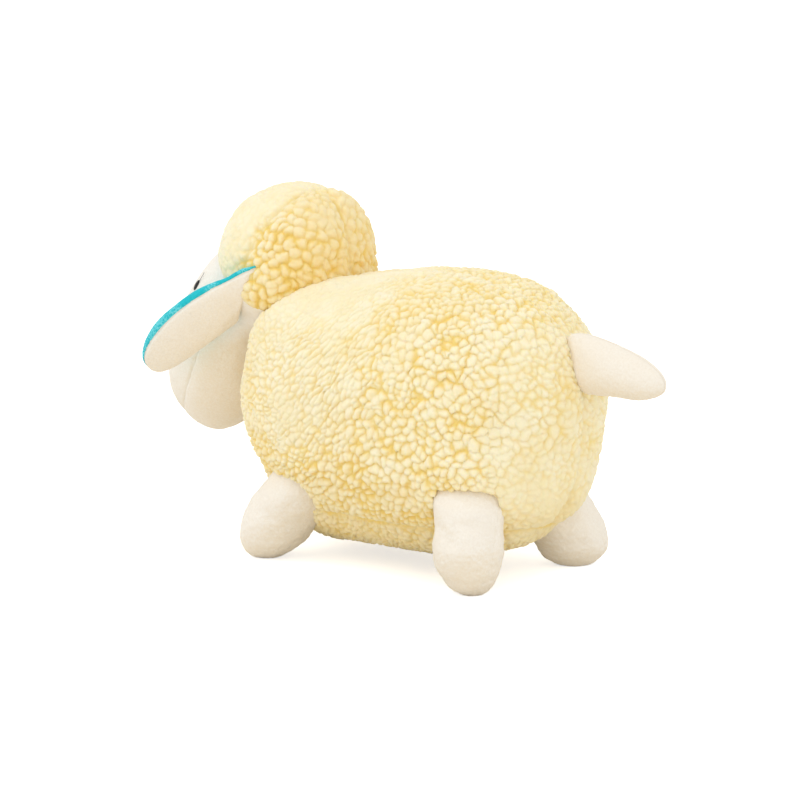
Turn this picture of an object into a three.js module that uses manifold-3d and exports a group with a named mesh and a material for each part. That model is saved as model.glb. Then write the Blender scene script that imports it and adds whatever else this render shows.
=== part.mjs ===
// A plush sheep, about 30 cm from nose to tail, standing on four short legs.
//
// Millimetres, +Z up. The nose points to -Y and the sheep's left side to +X.
// The origin is on the floor, below the middle of the whole toy.
//
// Every stuffed piece is a cloth skin, cut into the panels that are sewn together,
// round a filling of its own. The skins are drawn from outside to inside: a form
// grown by nothing is the outer face of its cloth, and the filling lies a clearance
// inside the inner face. Smaller forms are cut by the larger ones that carry them.
import * as THREE from "three";
import { mergeVertices } from "three/addons/utils/BufferGeometryUtils.js";
import Module from "manifold-3d";

const wasm = await Module();
wasm.setup();

// Cloth thicknesses and the clearance between neighbours
const fleece = 3;
const velboa = 1.5;
const embroidery = 0.8;
const gap = 0.3;
// How deep a foot is pressed flat where it stands
const soleDepth = 0.5;
// How far a cutting block reaches past everything
const overrun = 500;

// Body: a loaf of two side panels and a belly panel
const body = {
  halfWidth: 65,
  halfLength: 99,
  halfHeight: 70,
  aboveFloor: 8.5,
  bellySeamRise: 19,
  outlinePower: 2.75,
  domePower: 2.5,
  rumpRoundShare: 0.07,
  rumpTaperShare: 0.17,
  chestRoundShare: 0.03,
  chestBulgeShare: 0.08,
  chestBulgeReachShare: 0.3,
  rumpRiseShare: 0.13,
  bellyFlatShare: 0.09,
};

// Wool cap: the top and back of the head, a front panel over the forehead and two
// panels behind it that meet in a seam down the back
const cap = {
  halfWidth: 41,
  halfLength: 39,
  halfHeight: 41,
  behindChest: 15,
  belowBack: 4,
  backTaperShare: 0.05,
  topBackward: 3,
  frontSeamAhead: 5,
  frontSeamTilt: 22,
  edgeDrop: 15,
  edgeTilt: 21,
  outlinePower: 2.4,
  domePower: 2.15,
};

// Face: a long oval leaning forward and down from under the cap, a front panel and
// two cheeks that meet under the chin
const face = {
  halfWidth: 37,
  halfThickness: 31,
  halfLength: 60,
  ahead: 38.5,
  below: 39.5,
  tilt: 63,
  seamBack: 3,
  muzzleTaperShare: 0.12,
  chinSwellShare: 0.1,
  outlinePower: 2.3,
  domePower: 2.2,
};

// Eyes and nose: patches of thread standing on the face, each placed by an angle
// round to the side and an angle up from the middle of the face's front
const eye = { halfWidth: 2.8, halfHeight: 4, side: 55, rise: 22 };
const nose = { halfWidth: 5.5, halfHeight: 3.2, side: 0, rise: -38 };

// Ears: flat leaves sewn on at the edge of the cap. The root seam leans back and out
// from the upright, and the leaf droops away from it, arched along its length.
const ear = {
  length: 66,
  droop: 52,
  archRise: 3,
  halfWidth: 16.3,
  halfThickness: 5.4,
  sunk: 22,
  rootSunk: 2,
  rootAhead: 4,
  rootBelow: 11,
  out: 52,
  rootLean: 27,
  rootFlare: 14,
  rootNarrowShare: 0.2,
  rootThinShare: 0.5,
  seamTilt: 6,
  outlinePower: 2.4,
  domePower: 2,
  cloth: 1.2,
  backSwing: 60,
  frontSwing: 10,
};

// Tail: a leaf standing in the seam at the middle of the rump
const tail = {
  length: 50.5,
  halfHeight: 14,
  halfThickness: 9,
  sunk: 12,
  belowBack: 34.5,
  droop: 7.5,
  tipTaperShare: 0.3,
  rootThinShare: 0.45,
  outlinePower: 2.4,
  domePower: 2,
  swing: 35,
};

// Legs: stubs of two panels, with the fleece round their tops
const leg = {
  radius: 17.5,
  sunk: 24,
  hipInset: 22,
  hipAboveBelly: 30,
  swellShare: 0.05,
  domePower: 2.7,
  swing: 15,
};
const frontLeg = { fromEnd: 49, reach: 21.5, splay: 14, inset: 9 };
const hindLeg = { fromEnd: 44, reach: 11, splay: 18.5, inset: 10 };

const looks = {
  fleece: { color: 0xf9e7bb, roughness: 0.95, metalness: 0 },
  velboa: { color: 0xf2e9da, roughness: 0.85, metalness: 0 },
  turquoise: { color: 0x22b9c1, roughness: 0.8, metalness: 0 },
  thread: { color: 0x2b2724, roughness: 0.6, metalness: 0 },
  noseThread: { color: 0xa98a7a, roughness: 0.7, metalness: 0 },
  filling: { color: 0xf7f7f4, roughness: 1, metalness: 0 },
};

// The power that leaves an outline or a dome round
const round = 2;

// A closed form swelling between two domes. The unit ball is first squared off, its
// outline (local X and Z) by one power and its domes (local Y) by another, and then
// each point goes where place() puts it.
function stuffed(around, rings, outlinePower, domePower, place) {
  const ball = new THREE.SphereGeometry(1, around, rings);
  ball.deleteAttribute("normal");
  ball.deleteAttribute("uv");
  const form = mergeVertices(ball);
  const points = form.getAttribute("position");
  const point = new THREE.Vector3();
  for (let i = 0; i < points.count; i++) {
    point.fromBufferAttribute(points, i);
    const outline = (Math.abs(point.x) ** outlinePower + Math.abs(point.z) ** outlinePower) ** (1 / outlinePower);
    const size = (outline ** domePower + Math.abs(point.y) ** domePower) ** (1 / domePower);
    const placed = place(point.divideScalar(size));
    points.setXYZ(i, placed.x, placed.y, placed.z);
  }
  return form;
}

function solid(geometry) {
  return new wasm.Manifold(new wasm.Mesh({
    numProp: 3,
    vertProperties: new Float32Array(geometry.getAttribute("position").array),
    triVerts: new Uint32Array(geometry.index.array),
  }));
}

// Everything beyond a plane, as one large block
function beyond(point, normal) {
  const block = new THREE.BoxGeometry(overrun, overrun, overrun);
  block.deleteAttribute("normal");
  block.deleteAttribute("uv");
  const closed = mergeVertices(block);
  closed.translate(0, 0, overrun / 2);
  const turn = new THREE.Quaternion().setFromUnitVectors(new THREE.Vector3(0, 0, 1), normal);
  closed.applyQuaternion(turn);
  closed.translate(point.x, point.y, point.z);
  return closed;
}

const degrees = (angle) => THREE.MathUtils.degToRad(angle);
const vector = (x, y, z) => new THREE.Vector3(x, y, z);

// How finely each form is drawn outside, round and between its poles. The inner face
// of the cloth and the filling take half as many steps, so that their corners lie
// under corners of the outside and the clearance holds everywhere.
const detail = {
  body: [28, 14],
  cap: [24, 12],
  face: [24, 10],
  ear: [14, 8],
  tail: [14, 8],
  leg: [14, 8],
  patch: [12, 6],
};
const half = (counts) => counts.map((count) => count / 2);

// Body
const bodyCentre = body.aboveFloor + body.halfHeight;

// The chest's share of the body's half length: it juts out at half height
function chestLength(rise) {
  const bulge = Math.exp(-((rise / body.chestBulgeReachShare) ** 2));
  return 1 + body.chestRoundShare * rise - body.chestBulgeShare * (1 - bulge);
}

function bodyForm(grow, counts = detail.body) {
  return stuffed(...counts, body.outlinePower, body.domePower, (p) => {
    const back = -p.x;
    const length = back > 0 ? 1 + body.rumpRoundShare * p.z : chestLength(p.z);
    const rise = p.z > 0 ? body.rumpRiseShare * back : body.bellyFlatShare * back ** 2;
    return vector(
      p.y * (body.halfWidth + grow) * (1 - body.rumpTaperShare * Math.max(0, back) ** 2),
      back * (body.halfLength + grow) * length,
      bodyCentre + p.z * (body.halfHeight + grow) * (1 + rise),
    );
  });
}

// How far behind the body's middle its rump lies, at a height above that middle
function rumpAt(rise) {
  const share = rise / body.halfHeight;
  const outline = (1 - Math.abs(share) ** body.outlinePower) ** (1 / body.outlinePower);
  return outline * body.halfLength * (1 + body.rumpRoundShare * share);
}

function bodyPieces() {
  const cloth = solid(bodyForm(0)).subtract(solid(bodyForm(-fleece, half(detail.body))));
  const seam = body.aboveFloor + body.bellySeamRise;
  const upper = cloth.intersect(solid(beyond(vector(0, 0, seam + gap / 2), vector(0, 0, 1))));
  const group = new THREE.Group();
  for (const [name, side] of [["left", 1], ["right", -1]]) {
    const ownSide = solid(beyond(vector((side * gap) / 2, 0, 0), vector(side, 0, 0)));
    group.add(piece(`body_side_${name}`, upper.intersect(ownSide), looks.fleece));
  }
  const lower = solid(beyond(vector(0, 0, seam - gap / 2), vector(0, 0, -1)));
  group.add(piece("belly_panel", cloth.intersect(lower), looks.fleece));
  const filling = solid(bodyForm(-fleece - gap, half(detail.body)));
  group.add(piece("body_filling", filling, looks.filling));
  return group;
}

// Head
const capCentre = vector(
  0,
  cap.behindChest - body.halfLength,
  body.aboveFloor + 2 * body.halfHeight - cap.belowBack,
);
function capForm(grow, counts = detail.cap) {
  return stuffed(...counts, cap.outlinePower, cap.domePower, (p) => {
    const taper = 1 - (cap.backTaperShare * p.z * (1 - p.x)) / 2;
    return vector(
      p.y * (cap.halfWidth * taper + grow),
      capCentre.y - p.x * (cap.halfLength * taper + grow) + cap.topBackward * Math.max(0, p.z) ** 2,
      capCentre.z + p.z * (cap.halfHeight + grow),
    );
  });
}

// The face's long axis runs down and forward, its thickness up and forward.
const faceCentre = vector(0, capCentre.y - face.ahead, capCentre.z - face.below);
const faceDown = vector(0, -Math.cos(degrees(face.tilt)), -Math.sin(degrees(face.tilt)));
const faceFront = vector(0, -Math.sin(degrees(face.tilt)), Math.cos(degrees(face.tilt)));
function facePoint(p, grow) {
  const width = face.halfWidth * (1 - face.muzzleTaperShare * p.x) + grow;
  const thickness = face.halfThickness * (1 + face.chinSwellShare * p.x) + grow;
  return faceCentre.clone()
    .addScaledVector(faceDown, p.x * (face.halfLength + grow))
    .addScaledVector(faceFront, p.z * thickness)
    .add(vector(p.y * width, 0, 0));
}
function faceForm(grow, counts = detail.face) {
  return stuffed(...counts, face.outlinePower, face.domePower, (p) => facePoint(p, grow));
}

function headForm(grow, capCounts = detail.cap, faceCounts = detail.face) {
  return solid(capForm(grow, capCounts)).add(solid(faceForm(grow, faceCounts)));
}

// The cap's edge: a plane that climbs towards the forehead
const edgePoint = vector(0, capCentre.y, capCentre.z - cap.edgeDrop);
const edgeUp = vector(0, Math.sin(degrees(cap.edgeTilt)), Math.cos(degrees(cap.edgeTilt)));

// The seam over the head, from ear to ear, behind the cap's front panel, and the seam
// round the face between its front and its cheeks
const overHead = {
  point: vector(0, capCentre.y - cap.frontSeamAhead, capCentre.z),
  forward: vector(0, -Math.cos(degrees(cap.frontSeamTilt)), Math.sin(degrees(cap.frontSeamTilt))),
};
const roundFace = {
  point: faceCentre.clone().addScaledVector(faceFront, -face.seamBack),
  forward: faceFront,
};

// Cuts a skin into a front panel and two panels behind it that meet in the middle
function panels(skin, seam, frontName, backName, look) {
  const shifted = (distance) => seam.point.clone().addScaledVector(seam.forward, distance);
  const ahead = solid(beyond(shifted(gap / 2), seam.forward));
  const behind = skin.intersect(solid(beyond(shifted(-gap / 2), seam.forward.clone().negate())));
  const found = [piece(frontName, skin.intersect(ahead), look)];
  for (const [name, side] of [["left", 1], ["right", -1]]) {
    const ownSide = solid(beyond(vector((side * gap) / 2, 0, 0), vector(side, 0, 0)));
    found.push(piece(`${backName}_${name}`, behind.intersect(ownSide), look));
  }
  return found;
}

function headPieces() {
  const group = new THREE.Group();
  const clearOfBody = solid(bodyForm(gap));
  const inside = headForm(-fleece, half(detail.cap), half(detail.face));
  const aboveEdge = edgePoint.clone().addScaledVector(edgeUp, gap / 2);
  const belowEdge = edgePoint.clone().addScaledVector(edgeUp, -gap / 2);
  const wool = headForm(0)
    .subtract(inside)
    .intersect(solid(beyond(aboveEdge, edgeUp)))
    .subtract(clearOfBody);
  const skin = headForm(velboa - fleece)
    .subtract(inside)
    .intersect(solid(beyond(belowEdge, edgeUp.clone().negate())))
    .subtract(clearOfBody);
  group.add(...panels(wool, overHead, "cap_front", "cap_side", looks.fleece));
  group.add(...panels(skin, roundFace, "face_front", "cheek", looks.velboa));
  const filling = headForm(-fleece - gap, half(detail.cap), half(detail.face));
  group.add(piece("head_filling", filling.subtract(clearOfBody), looks.filling));
  return group;
}

// A thin layer of thread standing on the face
const faceCloth = velboa - fleece;
function threadLayer() {
  const top = solid(faceForm(faceCloth + gap + embroidery));
  return top.subtract(solid(faceForm(faceCloth + gap)));
}

// A spot on the face: an angle round to the side and one up from the middle of the front
function onFace(side, rise) {
  const direction = vector(
    -Math.sin(degrees(rise)),
    Math.cos(degrees(rise)) * Math.sin(degrees(side)),
    Math.cos(degrees(rise)) * Math.cos(degrees(side)),
  );
  const outline = (Math.abs(direction.x) ** face.outlinePower
    + Math.abs(direction.z) ** face.outlinePower) ** (1 / face.outlinePower);
  const size = (outline ** face.domePower + Math.abs(direction.y) ** face.domePower) ** (1 / face.domePower);
  return facePoint(direction.divideScalar(size), faceCloth);
}

// A blunt peg through the face's surface, that a patch of thread is cut out with
function peg(point, outward, up, halfWidth, halfHeight) {
  const across = new THREE.Vector3().crossVectors(up, outward).normalize();
  const upright = new THREE.Vector3().crossVectors(outward, across);
  const depth = halfHeight + embroidery;
  return stuffed(...detail.patch, round, round, (p) => point.clone()
    .addScaledVector(across, p.x * halfWidth)
    .addScaledVector(outward, p.y * depth)
    .addScaledVector(upright, -p.z * halfHeight));
}

function facePatch(name, place, side, look) {
  const spot = onFace(side * place.side, place.rise);
  const up = faceDown.clone().negate();
  const fromAxis = spot.clone().sub(faceCentre);
  const outward = fromAxis.addScaledVector(up, -fromAxis.dot(up)).normalize();
  const patch = peg(spot, outward, up, place.halfWidth, place.halfHeight);
  return piece(name, threadLayer().intersect(solid(patch)), look);
}

function facePatches() {
  const group = new THREE.Group();
  group.add(facePatch("eye_left", eye, 1, looks.thread));
  group.add(facePatch("eye_right", eye, -1, looks.thread));
  group.add(facePatch("nose", nose, 1, looks.noseThread));
  return group;
}

// A limb's own frame: its Y axis runs out along the limb, and its X axis lies as near
// as it can to the given direction.
function limbFrame(origin, along, nearX) {
  const y = along.clone().normalize();
  const z = new THREE.Vector3().crossVectors(nearX, y).normalize();
  const x = new THREE.Vector3().crossVectors(y, z);
  return new THREE.Matrix4().makeBasis(x, y, z).setPosition(origin);
}

// The rest of the toy as a limb meets it at each of the angles that it swings to
function sweptPast(frame, hinge, angles, parts) {
  const home = new THREE.Vector3().setFromMatrixPosition(frame);
  let swept = null;
  for (const angle of angles) {
    const swing = new THREE.Matrix4().makeTranslation(home.x, home.y, home.z)
      .multiply(new THREE.Matrix4().makeRotationAxis(hinge, degrees(-angle)))
      .multiply(new THREE.Matrix4().makeTranslation(-home.x, -home.y, -home.z));
    const seen = frame.clone().invert().multiply(swing);
    for (const part of parts) {
      const moved = solid(part.clone().applyMatrix4(seen));
      swept = swept ? swept.add(moved) : moved;
    }
  }
  return swept;
}

function limbGroup(name, frame) {
  const group = new THREE.Group();
  group.name = name;
  frame.decompose(group.position, group.quaternion, group.scale);
  return group;
}

// Legs
function legForm(length, grow, counts = detail.leg) {
  const reach = (length + leg.sunk) / 2;
  return stuffed(...counts, round, leg.domePower, (p) => {
    const radius = (leg.radius + grow) * (1 + leg.swellShare * p.y);
    return vector(p.x * radius, reach - leg.sunk + p.y * (reach + grow), p.z * radius);
  });
}

function legPieces(name, side, end, place) {
  const hip = vector(
    side * (body.halfWidth - leg.hipInset - place.inset),
    end * (body.halfLength - place.fromEnd),
    body.aboveFloor + leg.hipAboveBelly,
  );
  const foot = vector(hip.x + side * place.splay, hip.y + end * place.reach, -soleDepth);
  const along = foot.clone().sub(hip);
  const lateral = vector(1, 0, 0);
  const frame = limbFrame(hip, along, lateral);
  const angles = [-leg.swing, 0, leg.swing];
  const rest = sweptPast(frame, lateral, angles, [bodyForm(gap)]);
  const floor = solid(beyond(vector(0, 0, 0), vector(0, 0, -1)).applyMatrix4(frame.clone().invert()));
  const length = along.length();
  const outer = solid(legForm(length, 0)).subtract(rest).subtract(floor);
  const skin = outer.subtract(solid(legForm(length, -velboa, half(detail.leg))));
  const group = limbGroup(`hip_${name}`, frame);
  for (const [panel, way] of [["outer", side], ["inner", -side]]) {
    const ownSide = solid(beyond(vector((way * gap) / 2, 0, 0), vector(way, 0, 0)));
    group.add(piece(`leg_${name}_${panel}`, skin.intersect(ownSide), looks.velboa));
  }
  const filling = solid(legForm(length, -velboa - gap, half(detail.leg))).subtract(rest);
  group.add(piece(`leg_${name}_filling`, filling, looks.filling));
  return group;
}

// Ears
const earAlong = vector(0, Math.cos(degrees(ear.droop)), -Math.sin(degrees(ear.droop)));
const earUp = vector(0, Math.sin(degrees(ear.droop)), Math.cos(degrees(ear.droop)));
function earForm(grow, counts = detail.ear) {
  const reach = (ear.length + ear.sunk) / 2;
  return stuffed(...counts, ear.outlinePower, ear.domePower, (p) => {
    const toTip = -p.x;
    const rootward = Math.max(0, -toTip);
    const out = reach - ear.sunk + toTip * (reach + grow);
    const width = ear.halfWidth * (1 - ear.rootNarrowShare * rootward) + grow;
    const thickness = ear.halfThickness * (1 - ear.rootThinShare * rootward) + grow;
    const share = Math.max(0, out / ear.length);
    const arch = 4 * ear.archRise * share * (1 - share);
    return vector(p.y * thickness, 0, 0)
      .addScaledVector(earAlong, out)
      .addScaledVector(earUp, p.z * width + arch);
  });
}

function earPieces(name, side) {
  const root = vector(
    side * (cap.halfWidth - ear.rootSunk),
    capCentre.y - ear.rootAhead,
    capCentre.z - ear.rootBelow,
  );
  const seam = vector(
    side * Math.tan(degrees(ear.rootFlare)),
    Math.tan(degrees(ear.rootLean)),
    1,
  ).normalize();
  const along = vector(side * Math.sin(degrees(ear.out)), -Math.cos(degrees(ear.out)), 0);
  along.addScaledVector(seam, -along.dot(seam)).normalize();
  const frame = limbFrame(root, along, new THREE.Vector3().crossVectors(along, seam));
  const angles = [-ear.frontSwing, 0, ear.backSwing / 3, (2 * ear.backSwing) / 3, ear.backSwing];
  const carrier = [capForm(gap), faceForm(gap), bodyForm(gap)];
  const rest = sweptPast(frame, seam, angles.map((angle) => side * angle), carrier);
  const outer = solid(earForm(0)).subtract(rest);
  const skin = outer.subtract(solid(earForm(-ear.cloth, half(detail.ear))));
  const tilt = degrees(ear.seamTilt);
  const group = limbGroup(`ear_root_${name}`, frame);
  group.userData.hinge = seam.clone().multiplyScalar(side);
  for (const [panel, way, look] of [["back", -side, looks.velboa], ["front", side, looks.turquoise]]) {
    const outward = vector(way, 0, 0).applyAxisAngle(earAlong, -side * tilt);
    const ownSide = solid(beyond(outward.clone().multiplyScalar(gap / 2), outward));
    group.add(piece(`ear_${name}_${panel}`, skin.intersect(ownSide), look));
  }
  const wadding = solid(earForm(-ear.cloth - gap, half(detail.ear))).subtract(rest);
  group.add(piece(`ear_${name}_wadding`, wadding, looks.filling));
  return group;
}

// Tail
function tailForm(grow, counts = detail.tail) {
  const reach = (tail.length + tail.sunk) / 2;
  return stuffed(...counts, tail.outlinePower, tail.domePower, (p) => {
    const toTip = -p.x;
    const height = tail.halfHeight * (1 - tail.tipTaperShare * toTip) + grow;
    const rootward = Math.max(0, -toTip);
    const thickness = tail.halfThickness * (1 - tail.rootThinShare * rootward) + grow;
    return vector(p.y * thickness, reach - tail.sunk + toTip * (reach + grow), p.z * height);
  });
}

function tailPieces() {
  const rise = body.halfHeight - tail.belowBack;
  const root = vector(0, rumpAt(rise), bodyCentre + rise);
  const along = vector(0, Math.cos(degrees(tail.droop)), -Math.sin(degrees(tail.droop)));
  const frame = limbFrame(root, along, vector(1, 0, 0));
  const upright = vector(0, 0, 1);
  const rest = sweptPast(frame, upright, [-tail.swing, 0, tail.swing], [bodyForm(gap)]);
  const outer = solid(tailForm(0)).subtract(rest);
  const skin = outer.subtract(solid(tailForm(-velboa, half(detail.tail))));
  const group = limbGroup("tail_root", frame);
  for (const [panel, way] of [["left", 1], ["right", -1]]) {
    const ownSide = solid(beyond(vector((way * gap) / 2, 0, 0), vector(way, 0, 0)));
    group.add(piece(`tail_side_${panel}`, skin.intersect(ownSide), looks.velboa));
  }
  const filling = solid(tailForm(-velboa - gap, half(detail.tail))).subtract(rest);
  group.add(piece("tail_filling", filling, looks.filling));
  return group;
}

function piece(name, shape, look) {
  const { vertProperties, triVerts } = shape.getMesh();
  const geometry = new THREE.BufferGeometry();
  geometry.setAttribute("position", new THREE.BufferAttribute(vertProperties, 3));
  geometry.setIndex(new THREE.BufferAttribute(triVerts, 1));
  geometry.computeVertexNormals();
  const mesh = new THREE.Mesh(geometry, new THREE.MeshStandardMaterial(look));
  mesh.name = name;
  return mesh;
}

const sheep = new THREE.Group();
sheep.add(bodyPieces(), headPieces(), facePatches(), tailPieces());
for (const [name, side] of [["left", 1], ["right", -1]]) {
  sheep.add(earPieces(name, side));
  sheep.add(legPieces(`front_${name}`, side, -1, frontLeg));
  sheep.add(legPieces(`hind_${name}`, side, 1, hindLeg));
}

// Stand it on the floor, with the origin below the middle of its box.
sheep.updateMatrixWorld(true);
const box = new THREE.Box3().setFromObject(sheep, true);
const middle = box.getCenter(new THREE.Vector3());
sheep.position.set(-middle.x, -middle.y, -box.min.z);
sheep.updateMatrixWorld(true);

export default sheep;
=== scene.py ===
"""A plush sheep of pale yellow sherpa fleece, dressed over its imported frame.

Sizes are in millimetres until a mesh is made, and the frame's own metres from there.
"""
import math

import bpy
import numpy as np
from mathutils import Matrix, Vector, kdtree


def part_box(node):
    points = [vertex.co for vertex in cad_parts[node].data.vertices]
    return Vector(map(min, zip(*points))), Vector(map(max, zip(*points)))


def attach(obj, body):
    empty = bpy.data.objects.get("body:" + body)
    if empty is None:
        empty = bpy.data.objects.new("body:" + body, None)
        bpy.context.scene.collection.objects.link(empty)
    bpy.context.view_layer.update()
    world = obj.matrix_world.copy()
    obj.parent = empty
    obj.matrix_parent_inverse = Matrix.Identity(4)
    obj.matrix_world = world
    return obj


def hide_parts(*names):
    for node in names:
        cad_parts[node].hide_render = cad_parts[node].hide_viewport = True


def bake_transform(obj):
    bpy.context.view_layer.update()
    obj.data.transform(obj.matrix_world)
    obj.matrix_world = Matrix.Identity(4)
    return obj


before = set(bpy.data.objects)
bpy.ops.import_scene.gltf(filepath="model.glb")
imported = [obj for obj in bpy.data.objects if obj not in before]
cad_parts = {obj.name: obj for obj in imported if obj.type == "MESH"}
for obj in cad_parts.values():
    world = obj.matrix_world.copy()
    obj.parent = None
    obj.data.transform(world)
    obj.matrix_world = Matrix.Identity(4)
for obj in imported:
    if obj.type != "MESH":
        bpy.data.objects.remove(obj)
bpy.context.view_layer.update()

MM = 0.001

# The forms, as the frame has them
VELBOA_BELOW_FLEECE = 1.5
BODY = {
    "half_width": 65, "half_length": 99, "half_height": 70,
    "centre": (0, 8.649, 78.5), "seam_height": 27.5, "outline_power": 2.75, "dome_power": 2.5,
    "rump_round_share": 0.07, "rump_taper_share": 0.17, "rump_rise_share": 0.13,
    "belly_flat_share": 0.09, "chest_round_share": 0.03, "chest_bulge_share": 0.08,
    "chest_bulge_reach_share": 0.3,
}
CAP = {
    "half_width": 41, "half_length": 39, "half_height": 41, "centre": (0, -75.351, 144.5),
    "back_taper_share": 0.05, "top_backward": 3, "seam_ahead": 5, "seam_tilt": 22,
    "edge_drop": 15, "edge_tilt": 21, "outline_power": 2.4, "dome_power": 2.15,
}
FACE = {
    "half_width": 37, "half_thickness": 31, "half_length": 60, "centre": (0, -113.851, 105),
    "tilt": 63, "seam_back": 3, "seam_bend": 9, "taper_share": 0.12, "chin_swell_share": 0.1,
    "outline_power": 2.3, "dome_power": 2.2,
}
LEG = {"radius": 17.5, "sunk": 24, "swell_share": 0.05, "dome_power": 2.7, "sole_depth": 0.5}
HIPS = {
    "front": {"hip": (34.0, -41.351, 38.5), "splay": 14, "reach": -21.5},
    "hind": {"hip": (33.0, 63.649, 38.5), "splay": 18.5, "reach": 11},
}
EAR = {
    "root": (39.0, -79.351, 133.5), "length": 67, "droop": 53, "arch_rise": 4.5, "half_width": 16.3,
    "half_thickness": 5.4, "sunk": 22, "out": 52, "lean": 27, "flare": 14, "seam_tilt": 6,
    "lining_shows": 0.95, "root_narrow_share": 0.2, "root_cut_share": 0.65,
    "tip_taper_share": 0, "root_thin_share": 0.5, "outline_power": 2.4, "dome_power": 2,
}
TAIL = {
    "root": (0, 105.092, 115.2), "length": 52.5, "half_width": 14, "half_thickness": 9, "sunk": 12,
    "droop": 7.5, "arch_rise": 0, "root_narrow_share": 0, "root_cut_share": 0, "tip_taper_share": 0.3,
    "root_thin_share": 0.45, "outline_power": 2.4, "dome_power": 2,
}
SIDES = (("left", 1), ("right", -1))
# A cloth is held inside one share of the form that it runs into, and made from another share
# of it on
HELD_SHARES = {"body": 0.97, "head": 1.0, "leg": 0.95, "ear": 1.03, "tail": 1.0}
MADE_SHARES = {"head": 0.93, "leg": 0.8, "ear": 0.9, "tail": 0.93}


def turned(angle):
    return math.radians(angle)


def smooth(value, start=0.0, end=1.0):
    """0 before start, 1 after end and an even rise between them."""
    share = np.clip((value - start) / (end - start), 0, 1)
    return share * share * (3 - 2 * share)


def beside(distance, reach):
    """1 at a seam, falling to 0 at a distance from it."""
    return 1 - smooth(distance, 0, reach)


def zoned(zones, ways):
    """The sum of the shares of the zones that a point lies in. A zone has its share and, by
    the name of a way across the points, the values between which it begins."""
    total = 0.0
    for share, borders in zones.values():
        for way, (start, end) in borders.items():
            share = share * smooth(ways[way], start, end)
        total = total + share
    return total


# Meshes as arrays of points and quads

def box_grid(counts):
    """The corners and quads of a cube's surface cut into counts cells along each axis."""
    counts = np.array(counts)
    quads = []
    for axis in range(3):
        across, up = (axis + 1) % 3, (axis + 2) % 3
        i, j = np.meshgrid(np.arange(counts[across] + 1), np.arange(counts[up] + 1), indexing="ij")
        for end in (0, counts[axis]):
            place = np.empty((*i.shape, 3), int)
            place[..., axis] = end
            place[..., across] = i
            place[..., up] = j
            key = np.ravel_multi_index(place.transpose(2, 0, 1), counts + 1)
            ring = [key[:-1, :-1], key[1:, :-1], key[1:, 1:], key[:-1, 1:]]
            quads.append(np.stack(ring if end else ring[::-1], -1).reshape(-1, 4))
    keys, quads = np.unique(np.concatenate(quads), return_inverse=True)
    corners = np.stack(np.unravel_index(keys, counts + 1), 1)
    even = corners * 2.0 / counts - 1
    return (even + np.tan(even * math.pi / 4)) / 2, quads.reshape(-1, 4)


def squared(points, outline_power, dome_power):
    """How many times larger a point lies than on the squared-off unit ball."""
    outline = np.abs(points[:, 0]) ** outline_power + np.abs(points[:, 2]) ** outline_power
    dome = np.abs(points[:, 1]) ** dome_power
    return (outline ** (dome_power / outline_power) + dome) ** (1 / dome_power)


def on_ball(counts, form):
    corners, quads = box_grid(counts)
    return corners / squared(corners, form["outline_power"], form["dome_power"])[:, None], quads


def normals(points, quads):
    a, b, c, d = (points[quads[:, k]] for k in range(4))
    facing = np.cross(c - a, d - b)
    total = np.zeros_like(points)
    for k in range(4):
        for axis in range(3):
            total[:, axis] += np.bincount(quads[:, k], facing[:, axis], len(points))
    return total / (np.linalg.norm(total, axis=1)[:, None] + 1e-12)


def new_mesh(name, points, quads):
    mesh = bpy.data.meshes.new(name)
    mesh.vertices.add(len(points))
    mesh.vertices.foreach_set("co", (points * MM).astype(np.float32).ravel())
    mesh.loops.add(quads.size)
    mesh.loops.foreach_set("vertex_index", quads.astype(np.int32).ravel())
    mesh.polygons.add(len(quads))
    mesh.polygons.foreach_set("loop_start", np.arange(0, quads.size, 4, dtype=np.int32))
    mesh.polygons.foreach_set("use_smooth", np.ones(len(quads), bool))
    mesh.update(calc_edges=True)
    return mesh


def mesh_arrays(mesh):
    points = np.empty(len(mesh.vertices) * 3, np.float32)
    mesh.vertices.foreach_get("co", points)
    quads = np.empty(len(mesh.loops), np.int32)
    mesh.loops.foreach_get("vertex_index", quads)
    return points.reshape(-1, 3).astype(float) / MM, quads.reshape(-1, 4)


def add_object(name, data):
    piece = bpy.data.objects.new(name, data)
    bpy.context.scene.collection.objects.link(piece)
    return piece


def refined(points, quads, levels=2):
    """The mesh after rounds of subdivision."""
    scratch = add_object("refining", new_mesh("refining", points, quads))
    modifier = scratch.modifiers.new("rounds", "SUBSURF")
    modifier.levels = levels
    depsgraph = bpy.context.evaluated_depsgraph_get()
    fine = bpy.data.meshes.new_from_object(scratch.evaluated_get(depsgraph))
    arrays = mesh_arrays(fine)
    bpy.data.meshes.remove(fine)
    bpy.data.meshes.remove(scratch.data)
    return arrays


SETTLING_FRAMES = 20
STUFFING_PRESSURE = 4.0
SEAM_SHRINK = 0.12
LEAST_WEIGHT = 0.01


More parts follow.
